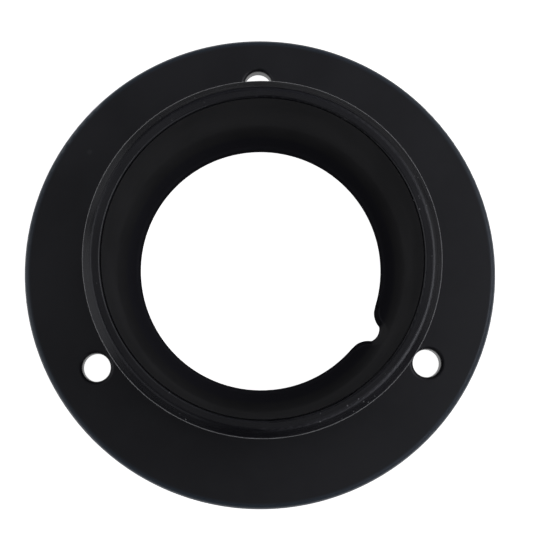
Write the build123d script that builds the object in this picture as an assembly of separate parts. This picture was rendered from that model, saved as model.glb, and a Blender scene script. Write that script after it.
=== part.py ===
from build123d import *
import math
import os

# Mounting collar of a kitchen waste disposer. Millimetres, +Z up along the throat's axis. The origin
# is the centre of the gasket's underside, which is the face that the collar stands on.

# How far a cutter stands past the face that it opens
OVER = 1.0

# Heights of the stack, from the gasket's underside up
GASKET_T = 1.5
FLANGE_T = 6.5
FLANGE_TOP = GASKET_T + FLANGE_T
FOOT_T = 2.5
FOOT_TOP = GASKET_T + FOOT_T
LIP_TOP = 53.0
LIP_EDGE_Z = 51.0
LIP_LAND_Z = 48.5

# Flange and its three bolt holes
FLANGE_R = 89.3
FLANGE_TOP_ROUND = 2.0
FLANGE_LOW_ROUND = 0.8
BOLT_COUNT = 3
BOLT_CIRCLE_R = 71.7
BOLT_HOLE_R = 5.25
BOLT_HOLE_ROUND = 1.5
BOLT_HOLE_CHAMFER = 0.4
BOLT_START_DEG = 90.0

# Collar: neck, bevelled clamp lip, and the foot that sits in the flange from below
SLIP = 0.1
NECK_R = 58.6
LIP_R = 62.3
LIP_FLAT_R = 59.2
LIP_UNDERSIDE_RISE = 4.0
COLLAR_BORE_R = 55.85
FOOT_R = 64.6
LINER_SEAT_R = 56.8
LINER_SEAT_Z = 4.2
EDGE_BREAK = 0.3
LIP_EDGE_ROUND = 0.4
LIP_RIDGE_ROUND = 2.5
LIP_INNER_ROUND = 1.0
LIP_ROOT_ROUND = 1.5

# Throat liner: tapering wall, inward lip and key notch
LINER_TOP_Z = 52.5
LINER_TOP_R = 55.5
LINER_LOW_R = 52.2
LINER_FOOT_Z = 3.1
LINER_NOSE_T = 0.2
LINER_NOSE_H = 1.7
LINER_NOSE_ROUND = 0.08
LINER_MOUTH_ROUND = 0.1
THROAT_R = 45.2
THROAT_EDGE_Z = 12.6
THROAT_LIP_T = 4.6
THROAT_LIP_RISE = 0.6
THROAT_FILLET = 6.0
THROAT_EDGE_ROUND = 1.8
THROAT_UNDER_ROUND = 0.6
THROAT_UNDER_FILLET = 1.0
NOTCH_DEG = 330.0
NOTCH_FLOOR_R = 50.4
NOTCH_FLOOR_ROUND = 5.0
NOTCH_HALF_W = 3.0
NOTCH_MOUTH_ROUND = 8.0
NOTCH_DRAFT_DEG = 18.0
NOTCH_H = 10.0

# Steel ring moulded into the inward lip
CORE_IN_R = 46.8
CORE_OUT_R = 54.0
CORE_T = 1.2
CORE_Z = 9.2
CORE_COVER = 1.3

# Snap ring under the liner's foot
SNAP_T = 1.2
SNAP_Z = 1.9
SNAP_OUT_R = 57.8
SNAP_IN_R = 53.8
SNAP_GAP_DEG = 12.0
SNAP_EAR_R = 2.6
SNAP_EAR_CENTRE_R = 53.9
SNAP_EAR_HOLE_R = 0.9

# Six countersunk screws that hold the collar's foot in the flange
SCREW_COUNT = 6
SCREW_CIRCLE_R = 61.6
SCREW_R = 1.45
SCREW_HEAD_R = 2.7
SCREW_HEAD_RIM = 0.25
SCREW_TIP_Z = 6.8
SCREW_SOCKET_R = 1.15
SCREW_SOCKET_DEPTH = 0.8
SCREW_SOCKET_SIDES = 6
TAPPED_R = 1.5
TAPPED_TOP_Z = 7.0
CLEAR_R = 1.7

# Seal between the neck and the flange's bore
O_RING_R = 0.75
O_RING_Z = 6.15
O_RING_GROOVE_H = 1.9

# Gasket
GASKET_IN_R = 58.3
GASKET_OUT_R = 86.0
GASKET_HOLE_R = 6.6


def turned(points, radii=None):
    """A solid of revolution about Z, from a closed outline of (radius, height) points."""
    corners = [(r, 0, z) for r, z in points]
    outline = FilletPolyline(*corners, radius=radii or [0] * len(corners), close=True)
    return revolve(make_face(outline), Axis.Z)


def flat_ring(r_in, r_out, z_low, z_high):
    """A plain ring of rectangular section."""
    return turned([(r_in, z_low), (r_out, z_low), (r_out, z_high), (r_in, z_high)])


def polar(radius, deg):
    """The point at a radius and an angle about Z."""
    return (radius * math.cos(math.radians(deg)), radius * math.sin(math.radians(deg)))


def around(count, radius, start_deg=0.0):
    """Centres of features spread evenly on a circle."""
    return [polar(radius, start_deg + 360.0 * k / count) for k in range(count)]


def drill(radius, z_low, z_high, centre):
    """A round cutter that stands on z_low at a centre."""
    return Pos(centre[0], centre[1], z_low) * Cylinder(
        radius, z_high - z_low, align=(Align.CENTER, Align.CENTER, Align.MIN)
    )


def cone(r_low, r_high, z_low, z_high, centre):
    """A conical cutter or head between two heights at a centre."""
    return Pos(centre[0], centre[1], z_low) * Cone(
        r_low, r_high, z_high - z_low, align=(Align.CENTER, Align.CENTER, Align.MIN)
    )


BOLT_CENTRES = around(BOLT_COUNT, BOLT_CIRCLE_R, BOLT_START_DEG)
SCREW_CENTRES = around(SCREW_COUNT, SCREW_CIRCLE_R)


def bolt_hole_cutter(centre):
    """A through hole with a rounded top edge and a small chamfer underneath."""
    wide = BOLT_HOLE_R + BOLT_HOLE_ROUND
    low = BOLT_HOLE_R + BOLT_HOLE_CHAMFER
    floor_z = GASKET_T - OVER
    round_z = FLANGE_TOP - BOLT_HOLE_ROUND
    roof_z = FLANGE_TOP + OVER
    with BuildSketch(Plane.XZ) as half:
        with BuildLine():
            Polyline(
                (0, roof_z), (0, floor_z), (low, floor_z), (low, GASKET_T),
                (BOLT_HOLE_R, GASKET_T + BOLT_HOLE_CHAMFER), (BOLT_HOLE_R, round_z),
            )
            RadiusArc((BOLT_HOLE_R, round_z), (wide, FLANGE_TOP), BOLT_HOLE_ROUND)
            Polyline((wide, FLANGE_TOP), (wide, roof_z), (0, roof_z))
        make_face()
    return Pos(centre[0], centre[1], 0) * revolve(half.sketch, Axis.Z)


def make_mounting_flange():
    """Wide ring, with a counterbore from below for the collar's foot."""
    bore = NECK_R + SLIP
    seat = FOOT_R + SLIP
    outline = [
        (seat, GASKET_T), (FLANGE_R, GASKET_T), (FLANGE_R, FLANGE_TOP), (bore, FLANGE_TOP),
        (bore, FOOT_TOP), (seat, FOOT_TOP),
    ]
    flange = turned(outline, [0, FLANGE_LOW_ROUND, FLANGE_TOP_ROUND, EDGE_BREAK, 0, 0])
    for centre in BOLT_CENTRES:
        flange -= bolt_hole_cutter(centre)
    for centre in SCREW_CENTRES:
        flange -= drill(TAPPED_R, FOOT_TOP - OVER, TAPPED_TOP_Z, centre)
    return flange


def make_clamp_collar():
    """Neck with a bevelled clamp lip on top, a seal groove low down, and a foot."""
    groove_r = NECK_R + SLIP - 2 * O_RING_R
    groove_low = O_RING_Z - O_RING_GROOVE_H / 2
    groove_high = O_RING_Z + O_RING_GROOVE_H / 2
    outline = [
        (LINER_SEAT_R, GASKET_T), (FOOT_R, GASKET_T), (FOOT_R, FOOT_TOP), (NECK_R, FOOT_TOP),
        (NECK_R, groove_low), (groove_r, groove_low), (groove_r, groove_high), (NECK_R, groove_high),
        (NECK_R, LIP_LAND_Z - LIP_UNDERSIDE_RISE), (LIP_R, LIP_LAND_Z), (LIP_R, LIP_EDGE_Z),
        (LIP_FLAT_R, LIP_TOP), (COLLAR_BORE_R, LIP_TOP), (COLLAR_BORE_R, LINER_SEAT_Z),
        (LINER_SEAT_R, LINER_SEAT_Z),
    ]
    rounds = [
        0, EDGE_BREAK, EDGE_BREAK, 0, 0, 0, 0, 0, LIP_ROOT_ROUND, EDGE_BREAK, LIP_EDGE_ROUND,
        LIP_RIDGE_ROUND, LIP_INNER_ROUND, 0, 0,
    ]
    collar = turned(outline, rounds)
    snap_low = SNAP_Z - SLIP / 2
    snap_high = SNAP_Z + SNAP_T + SLIP / 2
    collar -= flat_ring(LINER_SEAT_R - OVER, SNAP_OUT_R + SLIP, snap_low, snap_high)
    sink_r = SCREW_HEAD_R + SLIP
    sink_z = GASKET_T + SCREW_HEAD_RIM
    for centre in SCREW_CENTRES:
        collar -= drill(CLEAR_R, GASKET_T - OVER, FOOT_TOP + OVER, centre)
        collar -= drill(sink_r, GASKET_T - OVER, sink_z, centre)
        collar -= cone(sink_r, CLEAR_R, sink_z, sink_z + sink_r - CLEAR_R, centre)
    return collar


def notch_outline(z, grow):
    """Plan of the key notch at a height, made larger all round by a margin.

    The floor is arched, and a shoulder on each side runs into the throat's edge.
    """
    edge_r = THROAT_R + grow
    half_w = NOTCH_HALF_W + grow
    floor_r = NOTCH_FLOOR_R + grow
    floor_round = NOTCH_FLOOR_ROUND + grow
    shoulder = NOTCH_MOUTH_ROUND - grow
    corner_x = floor_r - floor_round + math.sqrt(floor_round ** 2 - half_w ** 2)
    corner_r = math.hypot(corner_x, half_w)
    centre_r = edge_r + shoulder
    swing = (centre_r ** 2 + corner_r ** 2 - shoulder ** 2) / (2 * centre_r * corner_r)
    mouth_deg = math.degrees(math.atan2(half_w, corner_x) + math.acos(swing))
    low, high = polar(edge_r, -mouth_deg), polar(edge_r, mouth_deg)
    with BuildSketch(Plane.XY.offset(z)) as slot:
        with BuildLine():
            RadiusArc(low, (corner_x, -half_w), shoulder)
            ThreePointArc((corner_x, -half_w), (floor_r, 0), (corner_x, half_w))
            RadiusArc((corner_x, half_w), high, shoulder)
            Polyline(high, polar(edge_r - OVER, mouth_deg), polar(edge_r - OVER, -mouth_deg), low)
        make_face()
    return slot.sketch


def notch_cutter(cover=0.0):
    """The key notch, whose walls lean outwards from the lip's underside up.

    A cover makes the same notch that much larger all round.
    """
    under_z = THROAT_EDGE_Z - THROAT_LIP_T
    lean = NOTCH_H * math.tan(math.radians(NOTCH_DRAFT_DEG))
    plans = [notch_outline(under_z, cover), notch_outline(under_z + NOTCH_H, cover + lean)]
    return Rot(0, 0, NOTCH_DEG) * loft(plans, ruled=True)


def liner_wall_r(z):
    """Radius of the liner's inner wall at a height: a straight draft from top to bottom."""
    t = (z - LINER_FOOT_Z) / (LINER_TOP_Z - LINER_FOOT_Z)
    return LINER_LOW_R + t * (LINER_TOP_R - LINER_LOW_R)


def make_throat_liner():
    """Tapering rubber sleeve with an inward lip, a foot, and a pocket for the steel ring."""
    back = COLLAR_BORE_R - SLIP / 2
    foot_r = LINER_SEAT_R - SLIP
    foot_top = LINER_SEAT_Z - SLIP / 2
    nose_r = LINER_TOP_R + LINER_NOSE_T
    nose_z = LINER_TOP_Z - LINER_NOSE_H
    under_z = THROAT_EDGE_Z - THROAT_LIP_T
    ledge_z = THROAT_EDGE_Z + THROAT_LIP_RISE
    outline = [
        (liner_wall_r(LINER_FOOT_Z), LINER_FOOT_Z), (foot_r, LINER_FOOT_Z), (foot_r, foot_top),
        (back, foot_top), (back, nose_z), (nose_r, nose_z), (nose_r, LINER_TOP_Z),
        (LINER_TOP_R, LINER_TOP_Z), (liner_wall_r(ledge_z), ledge_z), (THROAT_R, THROAT_EDGE_Z),
        (THROAT_R, under_z), (liner_wall_r(under_z), under_z),
    ]
    rounds = [
        EDGE_BREAK, EDGE_BREAK, 0, 0, 0, 0, LINER_NOSE_ROUND, LINER_MOUTH_ROUND, THROAT_FILLET,
        THROAT_EDGE_ROUND, THROAT_UNDER_ROUND, THROAT_UNDER_FILLET,
    ]
    liner = turned(outline, rounds)
    liner -= notch_cutter()
    return liner - make_liner_core_ring()


def make_liner_core_ring():
    """Flat steel ring inside the inward lip, with its own wider notch behind the key notch."""
    ring = flat_ring(CORE_IN_R, CORE_OUT_R, CORE_Z, CORE_Z + CORE_T)
    return ring - notch_cutter(CORE_COVER)


def make_liner_retaining_ring():
    """Open snap ring with two eared ends, each with a hole for pliers."""
    top = SNAP_Z + SNAP_T
    ring = flat_ring(SNAP_IN_R, SNAP_OUT_R, SNAP_Z, top)
    middle = NOTCH_DEG + 180.0
    half = SNAP_GAP_DEG / 2
    reach = SNAP_OUT_R + OVER
    gap = Polyline((0, 0), polar(reach, middle - half), polar(reach, middle + half), close=True)
    ring -= extrude(make_face(gap), top + OVER)
    ear_deg = half + math.degrees(SNAP_EAR_R / SNAP_EAR_CENTRE_R)
    for side in (-1, 1):
        centre = polar(SNAP_EAR_CENTRE_R, middle + side * ear_deg)
        ring += drill(SNAP_EAR_R, SNAP_Z, top, centre)
        ring -= drill(SNAP_EAR_HOLE_R, SNAP_Z - OVER, top + OVER, centre)
    return ring


def make_collar_screw(centre):
    """One countersunk screw with a hexagon socket, head down."""
    rim_z = GASKET_T + SCREW_HEAD_RIM
    neck_z = rim_z + SCREW_HEAD_R - SCREW_R
    screw = drill(SCREW_HEAD_R, GASKET_T, rim_z, centre)
    screw += cone(SCREW_HEAD_R, SCREW_R, rim_z, neck_z, centre)
    screw += drill(SCREW_R, neck_z, SCREW_TIP_Z, centre)
    socket = extrude(RegularPolygon(SCREW_SOCKET_R, SCREW_SOCKET_SIDES), SCREW_SOCKET_DEPTH)
    return screw - Pos(centre[0], centre[1], GASKET_T) * socket


def make_collar_screws():
    """All six screws as one group of separate solids."""
    return Compound(children=[make_collar_screw(centre) for centre in SCREW_CENTRES])


def make_collar_o_ring():
    """Round-section seal in the neck's groove, against the flange's bore."""
    section = Plane.XZ * Pos(NECK_R + SLIP - O_RING_R, O_RING_Z) * Circle(O_RING_R)
    return revolve(section, Axis.Z)


def make_flange_gasket():
    """Flat gasket, with holes a little wider than the flange's bolt holes."""
    gasket = flat_ring(GASKET_IN_R, GASKET_OUT_R, 0, GASKET_T)
    for centre in BOLT_CENTRES:
        gasket -= drill(GASKET_HOLE_R, -OVER, GASKET_T + OVER, centre)
    return gasket


NODES = {
    "mounting_flange": make_mounting_flange,
    "clamp_collar": make_clamp_collar,
    "throat_liner": make_throat_liner,
    "liner_core_ring": make_liner_core_ring,
    "liner_retaining_ring": make_liner_retaining_ring,
    "collar_screws": make_collar_screws,
    "collar_o_ring": make_collar_o_ring,
    "flange_gasket": make_flange_gasket,
}

os.makedirs("parts", exist_ok=True)
for name, make in NODES.items():
    export_step(make(), f"parts/{name}.step")
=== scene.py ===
"""Mounting collar of a kitchen waste disposer: finishes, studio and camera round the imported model.

Metres and degrees. The collar stands on z = 0, and its throat's axis is z.
"""
import math

import bpy
from mathutils import Euler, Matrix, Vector


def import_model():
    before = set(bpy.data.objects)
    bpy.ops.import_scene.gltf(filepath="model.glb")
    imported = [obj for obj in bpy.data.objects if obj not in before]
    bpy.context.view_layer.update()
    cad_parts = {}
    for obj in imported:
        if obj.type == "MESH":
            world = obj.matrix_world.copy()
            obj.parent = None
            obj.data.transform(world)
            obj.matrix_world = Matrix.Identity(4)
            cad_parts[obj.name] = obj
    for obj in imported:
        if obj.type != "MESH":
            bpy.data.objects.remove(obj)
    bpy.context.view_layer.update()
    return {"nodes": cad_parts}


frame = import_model()
nodes = frame["nodes"]
scene = bpy.context.scene


# ---------------------------------------------------------------- node helpers
class Tree:
    """Short calls that add and join shader nodes in one material or world."""

    def __init__(self, owner):
        owner.use_nodes = True
        self.tree = owner.node_tree
        self.tree.nodes.clear()

    def add(self, kind, inputs=None, **settings):
        node = self.tree.nodes.new(kind)
        for key, value in settings.items():
            setattr(node, key, value)
        for key, value in (inputs or {}).items():
            self.feed(node.inputs[key], value)
        return node

    def feed(self, socket, value):
        if isinstance(value, bpy.types.NodeSocket):
            self.tree.links.new(value, socket)
        else:
            socket.default_value = value

    def math(self, operation, a, b=0.0):
        return self.add("ShaderNodeMath", {0: a, 1: b}, operation=operation).outputs[0]

    def scale(self, value, low, high, to_low=0.0, to_high=1.0):
        """A smooth step of the value between two levels, mapped to two others."""
        node = self.add("ShaderNodeMapRange", {0: value, 1: low, 2: high, 3: to_low, 4: to_high},
                        interpolation_type="SMOOTHSTEP", clamp=True)
        return node.outputs[0]

    def mix(self, factor, a, b):
        node = self.add("ShaderNodeMix", data_type="RGBA")
        self.feed(node.inputs["Factor"], factor)
        self.feed(node.inputs[6], a)
        self.feed(node.inputs[7], b)
        return node.outputs[2]

    def noise(self, vector, scale, detail=2.0, roughness=0.5):
        inputs = {"Vector": vector, "Scale": scale, "Detail": detail, "Roughness": roughness}
        return self.add("ShaderNodeTexNoise", inputs).outputs["Fac"]


def white(level, blue=0.0):
    """A neutral colour, or one with a little extra blue."""
    return (level, level, level * (1 + blue), 1.0)


def polar(t):
    """Object position in metres, its three coordinates, and its distance from the throat's axis."""
    position = t.add("ShaderNodeTexCoord").outputs["Object"]
    x, y, z = t.add("ShaderNodeSeparateXYZ", {0: position}).outputs
    radius = t.math("SQRT", t.math("ADD", t.math("MULTIPLY", x, x), t.math("MULTIPLY", y, y)))
    return position, x, y, z, radius


def rings(t, x, y, z, radius, pitch):
    """Noise drawn out into fine rings about the axis, broken up slowly along each ring."""
    across = 1.0 / pitch
    along = across / 60.0
    u = t.math("MULTIPLY", t.math("ADD", radius, z), across)
    v = t.math("MULTIPLY", x, along)
    w = t.math("MULTIPLY", y, along)
    vector = t.add("ShaderNodeCombineXYZ", {0: u, 1: v, 2: w}).outputs[0]
    return t.noise(vector, 1.0, 2.0, 0.6)


def specks(t, position, spacing, size, share):
    """Sparse soft dots, such as dust, which gather in drifts."""
    inputs = {"Vector": position, "Scale": 1.0 / spacing, "Randomness": 1.0}
    cells = t.add("ShaderNodeTexVoronoi", inputs)
    dot = t.scale(cells.outputs["Distance"], 0.0, size / spacing, 1.0, 0.0)
    pick = t.add("ShaderNodeSeparateColor", {0: cells.outputs["Color"]}).outputs[0]
    chosen = t.scale(pick, 1.0 - share, 1.0 - 0.6 * share, 0.0, 1.0)
    drift = t.scale(t.noise(position, 45.0, 2.0), 0.48, 0.62)
    return t.math("MULTIPLY", t.math("MULTIPLY", dot, chosen), drift)


def near(t, a, b, at_a, at_b, reach):
    """One where two coordinates have given values, falling to nothing at a distance from there."""
    da, db = t.math("SUBTRACT", a, at_a), t.math("SUBTRACT", b, at_b)
    away = t.math("SQRT", t.math("ADD", t.math("MULTIPLY", da, da), t.math("MULTIPLY", db, db)))
    return t.scale(away, 0.3 * reach, reach, 1.0, 0.0)


def shade(t, colour, roughness, height, strength, **inputs):
    """The principled shader that every finish ends in."""
    bump = t.add("ShaderNodeBump", {"Strength": strength, "Distance": 0.0001, "Height": height})
    named = {key.replace("_", " "): value for key, value in inputs.items()}
    named.update({"Base Color": colour, "Roughness": roughness, "Normal": bump.outputs[0]})
    shader = t.add("ShaderNodeBsdfPrincipled", named)
    out = t.add("ShaderNodeOutputMaterial")
    t.tree.links.new(shader.outputs[0], out.inputs["Surface"])


def new_finish(name):
    mat = bpy.data.materials.new(name)
    return mat, Tree(mat)


# ---------------------------------------------------------------- finishes
COOL_BLACK = (0.0072, 0.0072, 0.0092, 1.0)
COOL_GREY = (0.0128, 0.0128, 0.0153, 1.0)
# Colour of the painted highlight on the collar's crisp lip edge
PAINTED_EDGE_HIGHLIGHT = (0.108, 0.108, 0.116, 1.0)
DUST = (0.085, 0.085, 0.090, 1.0)
COLLAR_DUST = (0.30, 0.30, 0.31, 1.0)
COOL_SHEEN = (0.95, 0.96, 1.0, 1.0)
# Colour of the painted reflection on the flange's rounded rim
PAINTED_RIM_REFLECTION = (0.068, 0.106, 0.150, 1.0)

# Where the finishes, the painted reflection and highlight, and the painted shade change on the CAD shape
RIM_START_R = 0.0866
RIM_FULL_R = 0.0880
RIM_START_Z = 0.0058
RIM_FULL_Z = 0.0068
SMEAR_X = -0.0646
SMEAR_Y = 0.0461
SMEAR_REACH = 0.0014
COLLAR_EDGE_R = 0.06222
COLLAR_EDGE_Z = 0.05095
COLLAR_EDGE_REACH = 0.00050
LINER_LIP_R = 0.0500
LINER_LIP_EDGE_Z = 0.0126


def flange_finish():
    """Satin black anodising, cloudy and fine grained, with a painted bluish reflection on the rounded
    rim, and a little dust.
    """
    mat, t = new_finish("anodised_flange_look")
    position, x, y, z, radius = polar(t)
    cloud = t.noise(position, 34.0, 3.0, 0.55)
    grain = t.noise(position, 2600.0, 2.0, 0.6)
    colour = t.mix(t.scale(cloud, 0.36, 0.64), COOL_BLACK, COOL_GREY)
    # Painted reflection: the rounded rim is made paler and bluer, broken up by the grain, where it
    # mirrors the bright surround.
    rim = t.scale(radius, RIM_START_R, RIM_FULL_R)
    rim = t.math("MULTIPLY", rim, t.scale(z, RIM_START_Z, RIM_FULL_Z))
    rim = t.math("MULTIPLY", rim, t.scale(grain, 0.25, 0.75, 0.7, 1.0))
    colour = t.mix(t.math("MULTIPLY", rim, 0.36), colour, PAINTED_RIM_REFLECTION)
    dust = specks(t, position, 0.0050, 0.00028, 0.20)
    smear = t.math("MULTIPLY", near(t, x, y, SMEAR_X, SMEAR_Y, SMEAR_REACH), 0.22)
    colour = t.mix(t.math("MAXIMUM", t.math("MULTIPLY", dust, 0.35), smear), colour, DUST)
    level = t.scale(cloud, 0.3, 0.7, 0.44, 0.39)
    roughness = t.math("ADD", level, t.scale(grain, 0.3, 0.7, -0.02, 0.02))
    shade(t, colour, roughness, grain, 0.08, IOR=1.5, Specular_Tint=COOL_SHEEN)
    return mat


def collar_finish():
    """The same anodising on turned faces: fine rings, pale dust, and a painted highlight along the crisp
    edge round the lip, broken up by noise.
    """
    mat, t = new_finish("anodised_collar_look")
    position, x, y, z, radius = polar(t)
    cloud = t.noise(position, 40.0, 3.0, 0.55)
    ring = rings(t, x, y, z, radius, 0.00022)
    broad = rings(t, x, y, z, radius, 0.0009)
    colour = t.mix(t.scale(cloud, 0.3, 0.7), COOL_BLACK, COOL_GREY)
    # Painted highlight: a paler line along the lip's crisp outer edge, where the rounded edge mirrors
    # the bright surround, broken up by noise.
    highlight_breakup = t.scale(t.noise(position, 500.0, 2.0), 0.30, 0.60, 0.55, 1.0)
    edge = near(t, radius, z, COLLAR_EDGE_R, COLLAR_EDGE_Z, COLLAR_EDGE_REACH)
    edge = t.math("MULTIPLY", edge, highlight_breakup)
    dust = specks(t, position, 0.0019, 0.00040, 0.50)
    stretch = t.scale(t.noise(position, 90.0, 2.0), 0.5, 0.65, 0.0, 0.04)
    wear = t.math("MULTIPLY", t.scale(ring, 0.66, 0.78), stretch)
    colour = t.mix(t.math("MAXIMUM", dust, wear), colour, COLLAR_DUST)
    colour = t.mix(edge, colour, PAINTED_EDGE_HIGHLIGHT)
    level = t.scale(broad, 0.3, 0.7, 0.23, 0.30)
    roughness = t.math("ADD", level, t.scale(ring, 0.3, 0.7, -0.02, 0.02))
    shade(t, colour, roughness, ring, 0.05, IOR=1.5, Specular_Tint=COOL_SHEEN)
    return mat


def rubber(name, base, rough, level, bloom=0.0, lip=None):
    """Moulded rubber: matt, finely pitted, with a faint pale bloom in patches.

    A lip, given as its outer radius and the height of its edge, gets painted shade: it is a little bluer
    and darker, and darker still below its edge.
    """
    mat, t = new_finish(name)
    position, x, y, z, radius = polar(t)
    cloud = t.noise(position, 30.0, 3.0, 0.55)
    grain = t.noise(position, 1800.0, 2.0, 0.6)
    dark, pale = white(0.88 * base, 0.05), white(1.12 * base, 0.05)
    colour = t.mix(t.scale(cloud, 0.3, 0.7), dark, pale)
    patches = t.math("MULTIPLY", t.scale(t.noise(position, 70.0, 4.0, 0.65), 0.52, 0.75), bloom)
    colour = t.mix(patches, colour, white(3.0 * base))
    if lip:
        lip_r, edge_z = lip
        # Painted shade: the liner's lip is darker and bluer, darkest below its edge, where the collar
        # shades the ledge.
        below, above = white(0.32 * base, 0.20), white(0.88 * base, 0.20)
        painted_lip_shade = t.mix(t.scale(z, edge_z - 0.0009, edge_z + 0.0001), below, above)
        colour = t.mix(t.scale(radius, lip_r - 0.0008, lip_r + 0.0008), painted_lip_shade, colour)
    roughness = t.scale(cloud, 0.3, 0.7, rough - 0.04, rough + 0.04)
    shade(t, colour, roughness, grain, 0.1, IOR=1.5, Specular_IOR_Level=level)
    return mat


def steel(name, dark, pale, rough):
    """Plated or blackened steel with drawn grain and small stains."""
    mat, t = new_finish(name)
    position, x, y, z, radius = polar(t)
    drawn = rings(t, x, y, z, radius, 0.00015)
    stain = t.noise(position, 260.0, 3.0, 0.6)
    colour = t.mix(t.math("MULTIPLY", drawn, t.scale(stain, 0.3, 0.7, 0.6, 1.0)), dark, pale)
    roughness = t.scale(stain, 0.3, 0.7, rough - 0.06, rough + 0.06)
    shade(t, colour, roughness, drawn, 0.08, Metallic=1.0)
    return mat


ZINC = steel("zinc_look", (0.42, 0.42, 0.42, 1), (0.66, 0.66, 0.65, 1), 0.3)
SPRING_STEEL = steel("spring_steel_look", (0.10, 0.10, 0.10, 1), (0.19, 0.18, 0.17, 1), 0.4)
FINISHES = {
    "mounting_flange": flange_finish(),
    "clamp_collar": collar_finish(),
    "throat_liner": rubber("liner_rubber_look", 0.032, 0.75, 0.0, lip=(LINER_LIP_R, LINER_LIP_EDGE_Z)),
    "liner_core_ring": ZINC,
    "collar_screws": ZINC,
    "liner_retaining_ring": SPRING_STEEL,
    "collar_o_ring": rubber("seal_rubber_look", 0.020, 0.40, 0.5),
    "flange_gasket": rubber("gasket_rubber_look", 0.034, 0.75, 0.4, 0.35),
}
for name, mat in FINISHES.items():
    for slot in nodes[name].material_slots:
        slot.material = mat


# ---------------------------------------------------------------- studio
LAMP_DISTANCE = 1.2


def floor():
    """A white floor just under the collar. From below it can be seen through."""
    side = 4.0
    z = -0.0001
    corners = [(-side, -side, z), (side, -side, z), (side, side, z), (-side, side, z)]
    mesh = bpy.data.meshes.new("floor")
    mesh.from_pydata(corners, [], [(0, 1, 2, 3)])
    ob = bpy.data.objects.new("floor", mesh)
    scene.collection.objects.link(ob)
    mat = bpy.data.materials.new("floor_white")
    t = Tree(mat)
    look = {"Base Color": white(0.8), "Roughness": 0.9}
    glow = {"Emission Color": white(1.0), "Emission Strength": 1.0}
    top = t.add("ShaderNodeBsdfPrincipled", look | glow)
    under = t.add("ShaderNodeBsdfTransparent")
    side_seen = t.add("ShaderNodeNewGeometry").outputs["Backfacing"]
    both = t.add("ShaderNodeMixShader", {0: side_seen, 1: top.outputs[0], 2: under.outputs[0]})
    out = t.add("ShaderNodeOutputMaterial")
    t.tree.links.new(both.outputs[0], out.inputs["Surface"])
    mesh.materials.append(mat)


def softbox(name, azimuth, elevation, width, height, radiance, blue):
    """A soft rectangular lamp aimed at the collar. Radiance is what a mirror would show of it."""
    a, e = math.radians(azimuth), math.radians(elevation)
    direction = Vector((math.cos(a) * math.cos(e), math.sin(a) * math.cos(e), math.sin(e)))
    place = direction * LAMP_DISTANCE
    data = bpy.data.lights.new(name, "AREA")
    data.shape = "RECTANGLE"
    data.size, data.size_y = width, height
    data.energy = radiance * math.pi * width * height
    data.color = white(1.0, blue)[:3]
    ob = bpy.data.objects.new(name, data)
    ob.location = place
    ob.rotation_mode = "QUATERNION"
    ob.rotation_quaternion = place.to_track_quat("Z", "Y")
    ob.visible_camera = False
    scene.collection.objects.link(ob)


def world(horizon, sky):
    """A surround that lights the collar from low down and darkens upwards. Seen directly it is white."""
    w = bpy.data.worlds.new("studio")
    scene.world = w
    t = Tree(w)
    direction = t.add("ShaderNodeTexCoord").outputs["Generated"]
    height = t.add("ShaderNodeSeparateXYZ", {0: direction}).outputs[2]
    seen = t.add("ShaderNodeLightPath").outputs["Is Camera Ray"]
    level = t.math("MAXIMUM", t.scale(height, 0.02, 0.22, horizon, sky), seen)
    back = t.add("ShaderNodeBackground", {"Color": white(1.0), "Strength": level})
    out = t.add("ShaderNodeOutputWorld")
    t.tree.links.new(back.outputs[0], out.inputs["Surface"])


floor()
world(0.6, 0.0)
softbox("key", 0, 45, 0.70, 0.42, 1.85, 0.04)
softbox("key_back", 45, 45, 0.70, 0.42, 0.74, 0.06)
softbox("key_front", 315, 45, 0.70, 0.42, 0.85, 0.10)
softbox("key_low", 0, 22, 0.85, 0.42, 0.22, 0.0)
softbox("key_back_low", 35, 28, 0.50, 0.30, 0.50, 0.0)
for azimuth in (342, 18):
    softbox("key_high", azimuth, 55, 0.30, 0.18, 1.50, 0.04)
softbox("fill", 180, 45, 0.70, 0.42, 0.82, 0.04)
softbox("fill_high", 188, 55, 0.40, 0.20, 0.85, 0.04)
softbox("fill_front", 225, 45, 0.70, 0.42, 0.36, 0.06)
softbox("fill_low", 186, 22, 0.85, 0.42, 0.66, 0.02)
softbox("back_left_low", 146, 22, 0.44, 0.42, 0.42, 0.02)
softbox("back", 90, 45, 0.70, 0.42, 0.25, 0.20)
softbox("back_left", 150, 46, 0.50, 0.36, 0.50, 0.06)
for azimuth in (45, 135, 315):
    softbox("top", azimuth, 68, 0.60, 0.42, 0.33, 0.06)
softbox("ceiling", 0, 90, 0.50, 0.50, 0.21, 0.0)


# ---------------------------------------------------------------- camera
camera = bpy.data.objects.new("camera", bpy.data.cameras.new("camera"))
camera.location = (-0.00825, -0.05219, 0.5015)
camera.rotation_euler = Euler([math.radians(v) for v in (6.215, -1.121, -0.8)], "XYZ")
camera.data.sensor_width = 36.0
camera.data.lens = 88.66
camera.data.clip_start = 0.01
scene.collection.objects.link(camera)
scene.camera = camera
scene.view_settings.view_transform = "Standard"
